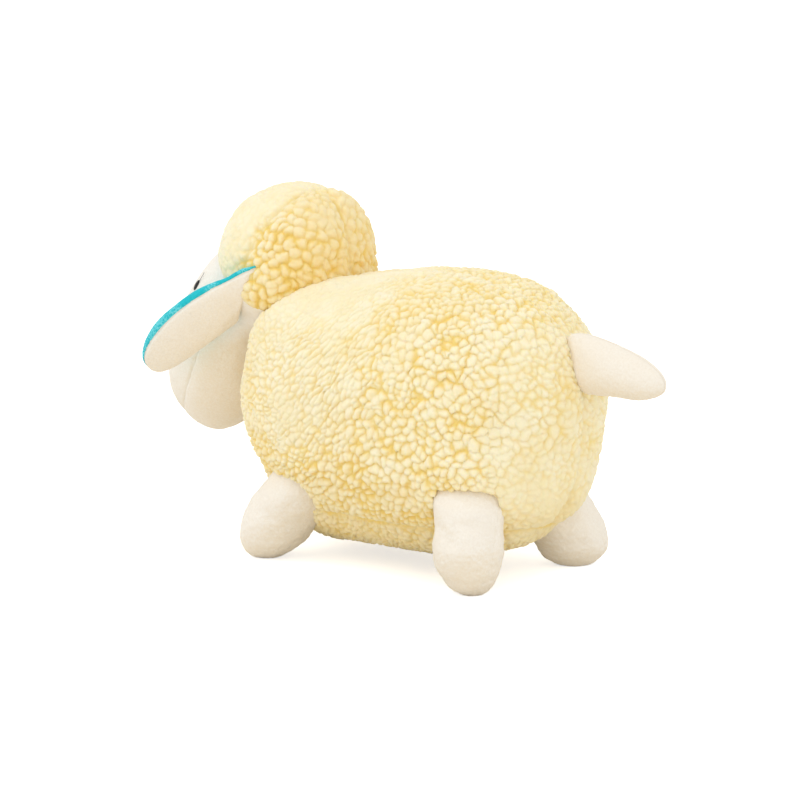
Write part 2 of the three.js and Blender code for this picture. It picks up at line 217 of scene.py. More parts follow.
def settled(points, quads, held, sewn, most):
    """Lets stuffing press a cloth out between its seams, no point by more than most. Held
    points stay, and the cloth shrinks where it is sewn; both run from 0 to 1."""
    piece = add_object("settling", new_mesh("settling", points, quads))
    for name, weights in (("held", held), ("sewn", sewn)):
        group = piece.vertex_groups.new(name=name)
        for i in np.flatnonzero(weights > LEAST_WEIGHT):
            group.add([int(i)], float(weights[i]), "REPLACE")
    cloth = piece.modifiers.new("cloth", "CLOTH")
    cloth.point_cache.frame_start = 1
    cloth.point_cache.frame_end = SETTLING_FRAMES
    cloth.collision_settings.use_collision = False
    settings = cloth.settings
    settings.quality = 5
    settings.vertex_group_mass = "held"
    settings.vertex_group_shrink = "sewn"
    settings.shrink_min = 0
    settings.shrink_max = SEAM_SHRINK
    settings.use_pressure = True
    settings.uniform_pressure_force = STUFFING_PRESSURE
    settings.effector_weights.gravity = 0
    for frame_number in range(1, SETTLING_FRAMES + 1):
        bpy.context.scene.frame_set(frame_number)
    depsgraph = bpy.context.evaluated_depsgraph_get()
    blown = bpy.data.meshes.new_from_object(piece.evaluated_get(depsgraph))
    moved = mesh_arrays(blown)[0] - points
    bpy.context.scene.frame_set(1)
    bpy.data.meshes.remove(blown)
    bpy.data.meshes.remove(piece.data)
    outward = normals(points, quads)
    free = held < 0.5
    moved -= outward * np.mean(np.sum(moved[free] * outward[free], 1))
    size = np.linalg.norm(moved, axis=1) + 1e-9
    moved *= (most * np.tanh(size / most) / size * (1 - held))[:, None]
    return points + moved


def stuffed(pattern, cage, quads, held, seam, sewn_between, most, levels=2):
    """A pattern and its stuffed cage as fine meshes, with their quads. seam is the distance of
    the cage's points to a seam; the cloth comes free between two such distances."""
    blown = settled(cage, quads, held.astype(float), 1 - smooth(seam, *sewn_between), most)
    fine, fine_quads = refined(pattern, quads, levels)
    return fine, refined(blown, quads, levels)[0], fine_quads


# Noise: factors that scramble the bits of a lattice cell's place and of a seed

CELL_FACTORS = (73856093, 19349663, 83492791)
SEED_FACTOR = 2654435761
SCRAMBLES = ((13, 1274126177), (16, 2246822519))
DROPPED_BITS = 8
KEPT_BITS = 0xFFFFFF
# Keeps the numbers of all cells above zero
LATTICE_START = 1000


def hashed(cells, seed):
    """An even random number from 0 to 1 for each cell of a lattice."""
    cells = cells.astype(np.int64).astype(np.uint64)
    bits = np.uint64(seed * SEED_FACTOR)
    for axis, factor in enumerate(CELL_FACTORS):
        bits = bits ^ (cells[..., axis] * np.uint64(factor))
    for shift, factor in SCRAMBLES:
        bits = (bits ^ (bits >> np.uint64(shift))) * np.uint64(factor)
    return ((bits >> np.uint64(DROPPED_BITS)) & np.uint64(KEPT_BITS)).astype(float) / KEPT_BITS


def wander(points, size, seed):
    """A smooth random value from -1 to 1 that changes over the given size."""
    scaled = points / size + LATTICE_START
    cell = np.floor(scaled)
    share = scaled - cell
    share = share * share * (3 - 2 * share)
    total = np.zeros(len(points))
    for corner in np.ndindex(2, 2, 2):
        weight = np.prod(np.where(corner, share, 1 - share), 1)
        total += weight * hashed(cell + corner, seed)
    return 2 * total - 1


def wander_vectors(points, wave, seed):
    """Smooth random steps. A wave has the size over which it changes and its reach."""
    size, reach = wave
    return reach * np.stack([wander(points, size, seed + axis) for axis in range(3)], 1)


def lumps(points, forms, seed=0):
    """A smooth random height. Each form has its height, its size and a seed of its own."""
    return sum(height * wander(points, size, seed + own) for height, size, own in forms)


# Fleece: clumps, clusters of them and curls by their width, and the length of the pile. A
# crease is narrow, and wider by the spread where it is deep. Clumps in front are flattened.

BODY_WOOL = {
    "clump": 3.5, "cluster": 10.0, "curl": 1.9, "pile": 2.15, "overhang": 0.8,
    "narrow": 0.45, "spread": 0.75, "flatten_share": 0.45,
}
CAP_WOOL = {
    "clump": 4.2, "cluster": 12.0, "curl": 2.0, "pile": 2.5, "overhang": 0.1,
    "narrow": 0.45, "spread": 0.95, "flatten_share": 0,
}
FLATTENED_AHEAD = (-30, 45)
# Waves that bend the borders of clumps and curls, by size and reach, and lumps of the whole
# fleece, by height, size and seed
BROAD_WAVE = (5.0, 1.3)
FINE_WAVE = (1.9, 0.6)
CURL_WAVE = (1.4, 0.5)
FLEECE_LUMPS = ((0.45, 20, 20), (0.35, 8, 23), (0.12, 1.2, 21))
# How far apart clumps lie varies by a share, over some times their spacing
SPACING_VARIES = 0.22
SPACING_VARIES_OVER = 6
REACH_SHARES = (0.65, 1.3)
NEIGHBOURS = 5
# How deep a border runs: at least, more by chance, and more between two clusters
BORDER_DEPTHS = (0.1, 0.62, 0.3)
VALLEY_POWER = 1.4
# The way that the pile falls, and how far it turns from it over some size, in radians
PILE_FALLS = np.array([0, 0.25, -1.0])
LEVEL_SHARE = 0.15
PILE_TURN = 0.9
PILE_TURNS_OVER = 11
# How much each thing counts in the pile's height and in the painted shade of its colour
PILE = {
    "crease": 0.85, "crease_varies": 0.5, "crease_varies_over": 9,
    "curl_depth": 0.6, "curl_width": 0.5, "curl_sinks": 0.16,
    "top": 0.82, "dome": 0.25, "dome_falls": 1.2, "calm_evens": 0.7, "calm_height": 0.6,
    "laid_below": 1.0, "shade_in_crease": 0.8, "shade_under_clump": 0.3, "shade_in_curl": 0.2,
    "shade_narrow": 1.1, "shade_spread": 1.2, "calm_pales": 0.85,
    "underneath": 0.5, "lower_half": 0.22, "shade_varies": 0.12, "shade_varies_over": 16,
}
# Between which values painted shade falls under the clump above, over a clump's lower half and where the
# fleece faces down
UNDER_CLUMP = (-0.2, 0.4)
LOWER_HALF = (-0.1, 0.6)
FLEECE_FACING_DOWN = (-0.35, 0.85)


def tree_of(points):
    tree = kdtree.KDTree(len(points))
    for i, point in enumerate(points):
        tree.insert(point, i)
    tree.balance()
    return tree


def scattered(points, spacing, seed):
    """Some of the points, none much nearer to another than the spacing there."""
    rng = np.random.default_rng(seed)
    wave = wander(points, SPACING_VARIES_OVER * spacing, seed + 7)
    spacing = spacing * (1 + SPACING_VARIES * wave)
    tree = tree_of(points)
    free = np.ones(len(points), bool)
    chosen = []
    for i in rng.permutation(len(points)):
        if free[i]:
            chosen.append(i)
            reach = spacing[i] * rng.uniform(*REACH_SHARES)
            for _, j, _ in tree.find_range(points[i], reach):
                free[j] = False
    return points[chosen]


def nearest(points, seeds, count):
    tree = tree_of(seeds)
    return np.array([[k for _, k, _ in tree.find_n(point, count)] for point in points])


def clumps(points, spacing, cluster, seed):
    """For each point the distance to its clump's borders, how deep these run from 0 to 1, and
    the way from the clump's middle. Borders between two clusters of clumps run deeper."""
    seeds = scattered(points, spacing, seed)
    group = nearest(seeds, scattered(seeds, cluster, seed + 1), 1)[:, 0]
    near = nearest(points, seeds, 1 + NEIGHBOURS)
    own, others = near[:, :1], near[:, 1:]
    offsets = np.linalg.norm(points[:, None] - seeds[near], axis=2)
    apart = np.linalg.norm(seeds[others] - seeds[own], axis=2)
    border = np.maximum(0, offsets[:, 1:] ** 2 - offsets[:, :1] ** 2) / (2 * apart)
    pair = np.stack([np.minimum(own, others), np.maximum(own, others), np.zeros_like(others)], -1)
    least, chance, apart_share = BORDER_DEPTHS
    depth = least + chance * hashed(pair, seed) + apart_share * (group[own] != group[others])
    return border, depth, points - seeds[near[:, 0]]


def valley(border, depth, width):
    """How low a point lies between clumps, from 0 on top to 1 in the deepest crease."""
    return 1 - np.prod(1 - depth * np.exp(-((border / width) ** VALLEY_POWER)), 1)


def hanging(points, outward, seed):
    """The way that the pile hangs over the surface, mostly down it."""
    down = PILE_FALLS - outward * (outward @ PILE_FALLS)[:, None]
    down /= np.linalg.norm(down, axis=1)[:, None] + LEVEL_SHARE
    turn = PILE_TURN * wander(points, PILE_TURNS_OVER, seed)[:, None]
    return down * np.cos(turn) + np.cross(outward, down) * np.sin(turn)


def fleece(points, quads, wool, calm, lying, shaded, seed):
    """Stands clumps of curled pile on a cloth. calm fills the creases between them, lying lays
    the pile down, as at a seam, and shaded deepens its colour with painted shade; each runs from 0
    to 1. Gives the points, the painted shade in the creases at each one and the painted shade over it."""
    outward = normals(points, quads)
    warped = points + wander_vectors(points, BROAD_WAVE, seed)
    warped += wander_vectors(points, FINE_WAVE, seed + 5)
    warped[:, 2] *= 1 + wool["flatten_share"] * smooth(-points[:, 1], *FLATTENED_AHEAD)
    clump = wool["clump"]
    border, depth, way = clumps(warped, clump, wool["cluster"], seed)
    curled = warped + wander_vectors(points, CURL_WAVE, seed + 9)
    curl_border, curl_depth, _ = clumps(curled, wool["curl"], clump, seed + 2)
    varied = PILE["crease_varies"] * wander(points, PILE["crease_varies_over"], seed + 30)
    depth = np.clip(depth * (PILE["crease"] + varied)[:, None], 0, 1)
    lower = np.sum(way * hanging(points, outward, seed + 40), 1) / clump
    crease = valley(border, depth, wool["narrow"] + wool["spread"] * depth)
    curl = valley(curl_border, PILE["curl_depth"] * curl_depth, PILE["curl_width"])

    dome = 1 - PILE["dome_falls"] * np.sum(way ** 2, 1) / clump ** 2
    rise = (1 - crease) * (PILE["top"] + PILE["dome"] * dome - PILE["curl_sinks"] * curl)
    uncalmed = 1 - PILE["calm_evens"] * calm
    rise = rise * uncalmed + PILE["calm_height"] * (calm - 1)
    leaning = wool["overhang"] * lower * (1 - crease) * uncalmed
    lift = (wool["pile"] * rise + leaning) * (1 - lying) - PILE["laid_below"] * lying
    lift += lumps(points, FLEECE_LUMPS, seed)

    # Painted shade in the creases, deeper under the clump above and in the curls, and paler where calm
    spread = PILE["shade_spread"] * wool["spread"] * depth
    crease_shade = valley(border, depth, PILE["shade_narrow"] * wool["narrow"] + spread)
    crease_shade = crease_shade * (PILE["shade_in_crease"] + PILE["shade_under_clump"] * smooth(-lower, *UNDER_CLUMP))
    crease_shade = np.clip(crease_shade + PILE["shade_in_curl"] * curl, 0, 1) * (1 - PILE["calm_pales"] * calm)
    # Painted shade where the fleece faces down and over each clump's lower half, with the shaded share
    shade = shaded + PILE["underneath"] * smooth(-outward[:, 2], *FLEECE_FACING_DOWN)
    shade += PILE["lower_half"] * smooth(lower, *LOWER_HALF) * (1 - calm)
    shade += PILE["shade_varies"] * wander(points, PILE["shade_varies_over"], seed + 50)
    return points + outward * lift[:, None], crease_shade, np.clip(shade, 0, 1)


# Pieces

# The short-pile cloth's lumps: a height, a size and a seed
FACE_LUMPS = ((0.45, 14, 51), (0.08, 1.5, 57))
LEG_LUMPS = ((0.7, 16, 60), (0.2, 1.5, 61), (0.15, 3, 62))
EAR_LUMPS = ((0.35, 13, 71), (0.06, 1.5, 72))
TAIL_LUMPS = ((0.4, 12, 81), (0.1, 1.5, 82))
# Painted shade on short pile where it faces down
UNDERNEATH_SHARE = 0.6
FACING_DOWN = (-0.3, 0.9)
THREAD_SHOWS = 0.8


def under_shade(points, quads, extra):
    """How much painted shade, in a warmer colour, short pile gets where it faces down, with the extra
    added, from 0 to 1.
    """
    facing_down = smooth(-normals(points, quads)[:, 2], *FACING_DOWN)
    return np.clip(UNDERNEATH_SHARE * facing_down + extra, 0, 1)


def skin_worn(points, quads, rest, seam, forms, seam_depth, seam_reach, extra=0.0):
    """Short-pile cloth over a form: its lumps, with the seams drawn in."""
    lift = lumps(rest, forms) - seam_depth * beside(seam, seam_reach) + extra
    return points + normals(points, quads) * lift[:, None]


def add_panel(name, points, quads, keep, values, material, body="root", nodes=()):
    """Makes a piece of the quads that are kept, with its named values at the points."""
    used, packed = np.unique(quads[keep], return_inverse=True)
    mesh = new_mesh(name, points[used], packed.reshape(-1, 4))
    for label, value in values.items():
        layer = mesh.attributes.new(label, "FLOAT", "POINT")
        layer.data.foreach_set("value", value[used].astype(np.float32))
    mesh.materials.append(material)
    piece = add_object(name, mesh)
    if body == "root":
        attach(piece, body)
    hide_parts(*nodes)
    return piece


def add_padded(panels, points, quads, values, material):
    """Makes panels, each with a name, the quads that it keeps and what it replaces."""
    for name, keep, nodes in panels:
        piece = add_panel(name, points, quads, keep, values, material, nodes=nodes)


FARTHEST = 200.0
HALVINGS = 26


def reach_of(gauge, middle, directions):
    """How far a form's outside lies from a point inside it, along each direction."""
    near = np.zeros(len(directions))
    far = np.full(len(directions), FARTHEST)
    for _ in range(HALVINGS):
        half = (near + far) / 2
        inside = gauge(middle + directions * half[:, None]) < 1
        near = np.where(inside, half, near)
        far = np.where(inside, far, half)
    return near


# Beyond these shares of a form's half sides its tapers and bulges grow no more
BACK_BOUND = 1.3
RISE_BOUND = 1.6
HEAD_BOUND = 1.5
BODY_ROUNDS = 5
CAP_ROUNDS = 4


def length_share(back, rise):
    """The body's half length at a height, behind and ahead of its middle."""
    bulge = np.exp(-((rise / BODY["chest_bulge_reach_share"]) ** 2))
    chest = 1 + BODY["chest_round_share"] * rise - BODY["chest_bulge_share"] * (1 - bulge)
    return np.where(back > 0, 1 + BODY["rump_round_share"] * rise, chest)


def body_gauge(points):
    """How many times larger a point lies than on the body's form."""
    from_centre = points - np.array(BODY["centre"])
    rise = from_centre[:, 2] / BODY["half_height"]
    for _ in range(BODY_ROUNDS):
        back = from_centre[:, 1] / BODY["half_length"] / length_share(from_centre[:, 1], rise)
        near = np.clip(back, -BACK_BOUND, BACK_BOUND)
        upper = 1 + BODY["rump_rise_share"] * near
        lower = 1 + BODY["belly_flat_share"] * near ** 2
        rise = from_centre[:, 2] / BODY["half_height"] / np.where(from_centre[:, 2] > 0, upper, lower)
        rise = np.clip(rise, -RISE_BOUND, RISE_BOUND)
    taper = 1 - BODY["rump_taper_share"] * np.clip(back, 0, BACK_BOUND) ** 2
    unit = np.stack([-back, from_centre[:, 0] / BODY["half_width"] / taper, rise], 1)
    return squared(unit, BODY["outline_power"], BODY["dome_power"])


def body_cage(spacing):
    halves = np.array([BODY["half_width"], BODY["half_length"], BODY["half_height"]])
    corners, quads = box_grid(2 * np.round(halves / spacing).astype(int))
    directions = corners * halves
    directions /= np.linalg.norm(directions, axis=1)[:, None]
    middle = np.array(BODY["centre"])
    return middle + directions * reach_of(body_gauge, middle, directions)[:, None], quads


# Where this toy's stuffing presses out or gives way: a place, how far it reaches and the push

BODY_PUSHES = (
    ((-35, 95, 52), 30, (1.6, -2.0, 0)),
    ((-20, 88, 130), 28, (0, -1.5, -2.5)),
    ((0, 22, 150), 28, (0, 0, 2.2)),
    ((39, -68, 120), 20, (3.2, -4.2, 2.0)),
    ((36, -47, 130), 22, (0.5, -0.8, 3.2)),
    ((10, -47, 10), 26, (0, -2, -6.5)),
    ((10, 0, 8), 30, (0, 0, -1.2)),
)
HEAD_PUSHES = (
    ((-8, -36, 158), 24, (1.2, -2.2, 0)),
    ((10, -84, 183), 20, (0, 0, -1.6)),
    ((-5, -50, 182), 12, (0, 0, 1.6)),
    ((8, -149, 72), 18, (0.5, -1.6, -1)),
    ((43, -74, 134), 14, (3.4, 2.6, 0)),
    ((28, -88, 63), 18, (0, 1.5, -6.5)),
    ((10, -122, 42), 20, (0, -0.5, -2)),
)


def pushed(points, pushes):
    for place, reach, push in pushes:
        share = np.exp(-(np.sum((points - np.array(place)) ** 2, 1) / reach ** 2))
        points = points + share[:, None] * np.array(push)
    return points


# The left legs stand nearly upright, sewn on high up the side under a lip of fleece. Their
# seats are rounded outlines on the side of the body, by the way rearward and the height.

SEATS_FACE = turned(51)
OUTWARD = np.array([math.sin(SEATS_FACE), math.cos(SEATS_FACE), 0.0])
REARWARD = np.array([-OUTWARD[1], OUTWARD[0], 0.0])
SEATS = (
    {"middle": (26.6, 24), "reach": (15.9, 29), "power": 7, "fade": 4.0, "depth": 74.8, "hood": 3.2},
    {"middle": (-68, 20), "reach": (21.0, 27), "power": 2.2, "fade": 4.0, "depth": 19.0, "hood": 1.4},
)
# The lip over a seat: how wide its edge is, between which distances it ends, and between which
# heights it hangs, is sharper and is drawn in over the floor
LIP = {
    "edge": 0.8, "ends": (2, 16), "hangs": (8, 24), "sharper": (0, 20), "sharper_share": 0.75,
    "drawn_in": (4, 16), "uneven": 0.5, "uneven_over": 6,
}


def seated(points):
    """Draws the body in within each high leg's seat and out in a hood over its top."""
    for number, seat in enumerate(SEATS):
        along = points @ REARWARD - seat["middle"][0]
        height = points[:, 2] - seat["middle"][1]
        depth = points @ OUTWARD
        width, tall = seat["reach"]
        out = np.abs(along / width) ** seat["power"] + np.abs(height / tall) ** seat["power"]
        out = (out ** (1 / seat["power"]) - 1) * width
        out -= LIP["uneven"] * wander(points, LIP["uneven_over"], 91 + number)
        fade = seat["fade"] * (1 - LIP["sharper_share"] * smooth(height, *LIP["sharper"]))
        drawn = (1 - smooth(out, -LIP["edge"], fade)) * smooth(points[:, 2], *LIP["drawn_in"])
        inward = drawn * np.maximum(0, depth - seat["depth"])
        over = smooth(out, -LIP["edge"], LIP["edge"]) * (1 - smooth(out, *LIP["ends"]))
        over = over * smooth(height, *LIP["hangs"]) * (depth > 0)
        points = points + OUTWARD * (seat["hood"] * over - inward)[:, None]
    return points


def seam_valley(distance, depth, reach):
    """How far stuffed cloth lies below its form near a seam."""
    return -depth * np.exp(-((distance / reach) ** 2))


# Painted shade in the grooves of fleece seams, and how it varies
SEAM_GROOVE_SHADE = 0.55
SEAM_GROOVE_SHADE_LUMPS = ((0.35, 7, 95),)


def seam_groove_shade(points, distance, reach):
    """Painted shade in the groove of a fleece seam, in a deeper colour, stronger here and weaker there.
    """
    return np.exp(-((distance / reach) ** 2)) * (SEAM_GROOVE_SHADE + lumps(points, SEAM_GROOVE_SHADE_LUMPS))


def body_seam(points):
    to_belly = np.abs(points[:, 2] - BODY["seam_height"])
    above = points[:, 2] > BODY["seam_height"]
    return np.where(above, np.minimum(np.abs(points[:, 0]), to_belly), to_belly)


def head_gauge(points):
    return np.minimum(cap_gauge(points), face_gauge(points))


# Where the creases of a fleece are filled: how far, and between which heights, ways rearward
# or distances below a seam that begins. The lumps vary it, and it stays under the most.
BODY_CALM = {
    "top_front": (0.74, {"height": (112, 142), "rearward": (45, -20)}),
    "rear": (0.42, {"rearward": (70, 100)}),
    "low_rear": (0.3, {"rearward": (70, 100), "height": (85, 40)}),
    "front": (0.42, {"rearward": (35, -25), "height": (40, 75)}),
    "panel": (0.35, {"below": (-1, 1)}),
}
BODY_CALM_LUMPS = ((0.15, 30, 90),)
MOST_CALM = {"body": 0.95, "cap": 0.97}
BODY_SHADED = {"panel": (0.05, {"below": (-1, 1)})}
# How far the pile is laid down at a seam, and the grooves beside the belly panel's seam, with their
# painted shade
LAID_SHARES = {"body": 0.8, "cap": 0.5}
PANEL_VALLEY_BELOW = 3
PANEL_SHADE_BELOW = 0.8
GROOVE_SHADE_REACH = 1.6


def make_body(material):
    cage, cage_quads = body_cage(spacing=5.5)
    cage = pushed(cage, BODY_PUSHES)
    held = head_gauge(cage) < HELD_SHARES["body"]
    rest, points, quads = stuffed(cage, cage, cage_quads, held, body_seam(cage),
                                  sewn_between=(2, 7), most=1.5, levels=3)
    seam = body_seam(rest)
    lying = LAID_SHARES["body"] * beside(seam, reach=2.4)
    below = BODY["seam_height"] - rest[:, 2]
    ways = {"height": rest[:, 2], "rearward": rest[:, 1], "below": below}
    calm = zoned(BODY_CALM, ways) + lumps(rest, BODY_CALM_LUMPS)
    calm = np.clip(calm, 0, MOST_CALM["body"])
    sunk = seam_valley(seam, depth=0.9, reach=6)
    sunk += seam_valley(below - PANEL_VALLEY_BELOW, depth=1.4, reach=5)
    points += normals(points, quads) * sunk[:, None]
    dressed, crease, shade = fleece(seated(points), quads, BODY_WOOL, calm, lying,
                                    zoned(BODY_SHADED, ways), seed=11)
    # Painted shade in the groove below the belly panel's seam, kept with the creases' painted shade
    groove_shade = seam_groove_shade(rest, below - PANEL_SHADE_BELOW, GROOVE_SHADE_REACH)
    values = {"crease": np.maximum(crease, groove_shade), "shade": shade}
    middle = rest[quads].mean(1)
    above = middle[:, 2] > BODY["seam_height"]
    panels = []
    for name, side in SIDES:
        nodes = [f"body_side_{name}"] + (["body_filling"] if side > 0 else [])
        panels.append((f"body_side_{name}_fleece", above & (side * middle[:, 0] > 0), nodes))
    panels.append(("belly_panel_fleece", ~above, ["belly_panel"]))
    add_padded(panels, dressed, quads, values, material)


# Head: one outside round a middle that lies in both the cap and the face

HEAD_MIDDLE = np.array([0, -97.0, 123.0])
HEAD_REACH = np.array([40.0, 50.0, 66.0])
# Over how wide a difference the outside passes from the cap's form to the face's
CAP_TO_FACE = 6.0


def tilted(angle):
    """The direction at an angle up from straight ahead."""
    return np.array([0, -math.cos(turned(angle)), math.sin(turned(angle))])


# This toy's cap sits a little higher over the forehead than its pattern has it
CAP_TIPPED = 6.5
EDGE_UP = tilted(90 + CAP["edge_tilt"] + CAP_TIPPED)
EDGE_POINT = np.array(CAP["centre"]) - np.array([0, 0, CAP["edge_drop"]])
CAP_SEAM_AHEAD = tilted(CAP["seam_tilt"])
CAP_SEAM_POINT = np.array(CAP["centre"]) - np.array([0, CAP["seam_ahead"], 0])
FACE_DOWN = tilted(-FACE["tilt"])
FACE_FRONT = tilted(90 - FACE["tilt"])
FACE_SEAM_POINT = np.array(FACE["centre"]) - FACE["seam_back"] * FACE_FRONT


def cap_gauge(points):
    from_centre = points - np.array(CAP["centre"])
    rise = from_centre[:, 2] / CAP["half_height"]
    from_centre[:, 1] -= CAP["top_backward"] * np.clip(rise, 0, HEAD_BOUND) ** 2
    taper = np.ones(len(points))
    for _ in range(CAP_ROUNDS):
        ahead = -from_centre[:, 1] / (CAP["half_length"] * taper)
        taper = 1 - CAP["back_taper_share"] * rise * (1 - np.clip(ahead, -2, 2)) / 2
    unit = np.stack([ahead, from_centre[:, 0] / (CAP["half_width"] * taper), rise], 1)
    return squared(unit, CAP["outline_power"], CAP["dome_power"])


def face_gauge(points):
    from_centre = points - np.array(FACE["centre"])
    down = from_centre @ FACE_DOWN / FACE["half_length"]
    bounded = np.clip(down, -HEAD_BOUND, HEAD_BOUND)
    unit = np.stack([
        down,
        from_centre[:, 0] / (FACE["half_width"] * (1 - FACE["taper_share"] * bounded)),
        from_centre @ FACE_FRONT / (FACE["half_thickness"] * (1 + FACE["chin_swell_share"] * bounded)),
    ], 1)
    return squared(unit, FACE["outline_power"], FACE["dome_power"])


def smooth_larger(a, b, width):
    """The larger of two values, rounded where they are nearly the same."""
    share = np.clip(0.5 + 0.5 * (a - b) / width, 0, 1)
    return b * (1 - share) + a * share + width * share * (1 - share)


def head_point(directions):
    to_cap = reach_of(cap_gauge, HEAD_MIDDLE, directions)
    to_face = reach_of(face_gauge, HEAD_MIDDLE, directions)
    return HEAD_MIDDLE + directions * smooth_larger(to_cap, to_face, CAP_TO_FACE)[:, None]


def head_cage(spacing):
    corners, quads = box_grid(2 * np.round(HEAD_REACH / spacing).astype(int))
    ball = corners / np.linalg.norm(corners, axis=1)[:, None]
    axes = np.array([[1, 0, 0], -FACE_FRONT, -FACE_DOWN])
    directions = (ball * HEAD_REACH) @ axes
    directions /= np.linalg.norm(directions, axis=1)[:, None]
    return pushed(head_point(directions), HEAD_PUSHES), quads


def ahead_of_face_seam(points):
    """The way ahead of the face's seam, which bends forward below the middle."""
    down = (points - np.array(FACE["centre"])) @ FACE_DOWN / FACE["half_length"]
    return (points - FACE_SEAM_POINT) @ FACE_FRONT - FACE["seam_bend"] * np.maximum(0, down) ** 2


def behind_seam(ahead, points):
    """The distance to a seam across, or behind it to the seam down the middle."""
    return np.where(ahead > 0, ahead, np.minimum(-ahead, np.abs(points[:, 0])))


def make_head(wool, skin):
    cage, cage_quads = head_cage(spacing=5.4)
    cap_seam = behind_seam((cage - CAP_SEAM_POINT) @ CAP_SEAM_AHEAD, cage)
    face_seam = behind_seam(ahead_of_face_seam(cage), cage)
    seam = np.where((cage - EDGE_POINT) @ EDGE_UP > 0, cap_seam, face_seam)
    held = body_gauge(cage) < HELD_SHARES["head"]
    rest, points, quads = stuffed(cage, cage, cage_quads, held, seam,
                                  sewn_between=(2, 6), most=1.2, levels=3)
    make_cap(rest, points, quads, wool)
    make_face(rest, points, quads, skin)


# The cap's calm and shaded parts and the cheeks' parts with painted shade, by the height, the
# way rearward and the way ahead of the cap's seam
CAP_CALM = {
    "front": (0.95, {"ahead": (-2, 7)}),
    "top": (0.45, {"height": (164, 184)}),
    "back": (0.35, {"rearward": (-62, -45)}),
}
CAP_CALM_LUMPS = ((0.1, 20, 92),)
CAP_SHADED = {"sides": (0.2, {"ahead": (6, -6)}), "back": (0.3, {"rearward": (-75, -40)})}
CAP_SEAM_LUMPS = ((0.9, 5, 94),)
CAP_EDGE_LAID = (-1, 3.5)
CAP_CREASE = 1.3
CAP_SEAM_SHADE = 0.8
CAP_OVERLAP = 0.5
FACE_OVERLAP = 3
# The face's cloth swells just under the cap's edge and is tucked in above that
SWELLS_BELOW = 0.5
TUCKED_BY = 1.2
TUCKED_BETWEEN = (0.5, 3)
FACE_PUCKER = 0.3
# Painted shade, in a warmer colour, low on the cheeks and more behind them, and a little less painted
# shade over the whole face
CHEEK_SHADE = {
    "low": (0.35, {"height": (122, 92)}),
    "rear": (0.55, {"height": (122, 92), "rearward": (-135, -95)}),
}
FACE_LESS_SHADE = 0.1


def make_cap(rest, points, quads, material):
    middle = rest[quads].mean(1)
    rise = (rest - EDGE_POINT) @ EDGE_UP
    ahead = (rest - CAP_SEAM_POINT) @ CAP_SEAM_AHEAD
    seam = np.maximum(0, behind_seam(ahead, rest) + lumps(rest, CAP_SEAM_LUMPS))
    laid = LAID_SHARES["cap"] * beside(seam, reach=2.2)
    lying = np.maximum(laid, 1 - smooth(rise, *CAP_EDGE_LAID))
    ways = {"ahead": ahead, "height": rest[:, 2], "rearward": rest[:, 1]}
    calm = zoned(CAP_CALM, ways) + lumps(rest, CAP_CALM_LUMPS)
    calm = np.clip(calm, 0, MOST_CALM["cap"])
    sunk = seam_valley(seam, depth=1.5, reach=5)
    puffed = points + normals(points, quads) * sunk[:, None]
    dressed, crease, shade = fleece(puffed, quads, CAP_WOOL, calm, lying,
                                    zoned(CAP_SHADED, ways), seed=31)
    # Painted shade in the groove of the cap's seams, kept with the creases' painted shade
    groove_shade = CAP_SEAM_SHADE * seam_groove_shade(rest, seam, GROOVE_SHADE_REACH)
    values = {"crease": np.maximum(np.clip(crease * CAP_CREASE, 0, 1), groove_shade), "shade": shade}
    above = (middle - EDGE_POINT) @ EDGE_UP > -CAP_OVERLAP
    above &= body_gauge(middle) > MADE_SHARES["head"]
    in_front = (middle - CAP_SEAM_POINT) @ CAP_SEAM_AHEAD > 0
    panels = [("cap_front_fleece", above & in_front, ["cap_front", "head_filling"])]
    for name, side in SIDES:
        keep = above & ~in_front & (side * middle[:, 0] > 0)
        panels.append((f"cap_side_{name}_fleece", keep, [f"cap_side_{name}"]))
    add_padded(panels, dressed, quads, values, material)


def make_face(rest, points, quads, material):
    middle = rest[quads].mean(1)
    rise = (rest - EDGE_POINT) @ EDGE_UP
    seam = behind_seam(ahead_of_face_seam(rest), rest)
    lift = -seam_valley(rise + SWELLS_BELOW, depth=0.5, reach=2)
    lift -= TUCKED_BY * smooth(rise, *TUCKED_BETWEEN) + VELBOA_BELOW_FLEECE
    lift += FACE_PUCKER * wander(rest, size=3.5, seed=55) * beside(seam, reach=5)
    lift += seam_valley(seam, depth=0.3, reach=4)
    worn = skin_worn(points, quads, rest, seam, FACE_LUMPS, seam_depth=0.5, seam_reach=1.5,
                     extra=lift)
    ways = {"height": rest[:, 2], "rearward": rest[:, 1]}
    # Painted shade on the cheeks
    cheek_shade = zoned(CHEEK_SHADE, ways) - FACE_LESS_SHADE
    values = {"seam": beside(seam, reach=0.9), "shade": under_shade(worn, quads, cheek_shade)}
    below = (middle - EDGE_POINT) @ EDGE_UP < FACE_OVERLAP
    below &= body_gauge(middle) > MADE_SHARES["head"]
    in_front = ahead_of_face_seam(middle) > 0
    panels = [("face_front_velboa", below & in_front, ["face_front"])]
    for name, side in SIDES:
        keep = below & ~in_front & (side * middle[:, 0] > 0)
        panels.append((f"cheek_{name}_velboa", keep, [f"cheek_{name}"]))
    add_padded(panels, worn, quads, values, material)


# Patches of thread on the face

THREAD_PITCH = 0.5
SATIN = {"steps": 49, "padding": 0.75, "strand": 0.16, "tuck": 0.45, "tucked_from": 0.9}
# How far apart points are taken on the face to find the way that it faces
TILT_STEP = 0.01


